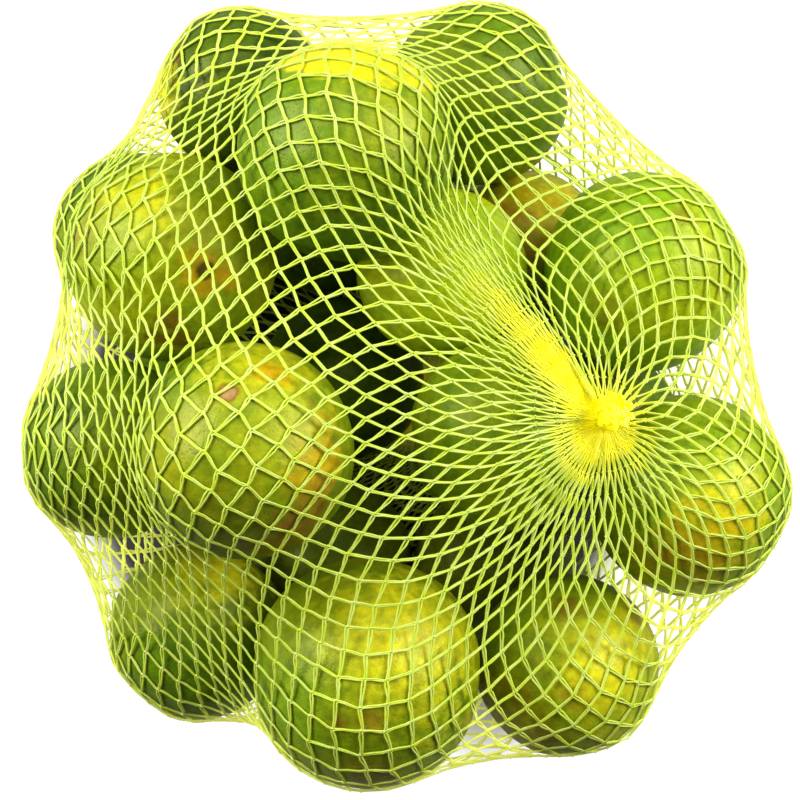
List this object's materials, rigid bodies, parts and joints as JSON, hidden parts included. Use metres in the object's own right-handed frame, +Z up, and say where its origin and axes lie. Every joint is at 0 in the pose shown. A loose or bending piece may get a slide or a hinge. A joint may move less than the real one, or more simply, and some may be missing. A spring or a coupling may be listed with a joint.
{
  "type": "net of oranges",
  "caption": "Oranges with green and yellow peel packed in a stretched knitted net, gathered into a short pleated tail on the upper side; lies on a flat surface.",
  "frame": {"origin": "on the table, under the middle of the pack's outline seen from above", "axes": "+Z up from the table to the side that shows, +Y towards the top of the picture, +X to its right"},
  "size_m": [0.2563, 0.2657, 0.1637],
  "materials": {
    "net": "thin knitted strands of glossy yellow-green plastic, slightly see-through",
    "peel": "pored citrus peel, green going to yellow and orange, with brown scars and a waxy gloss"
  },
  "bodies": {
    "root": {"filled_net": "net"}
  },
  "joints": []
}
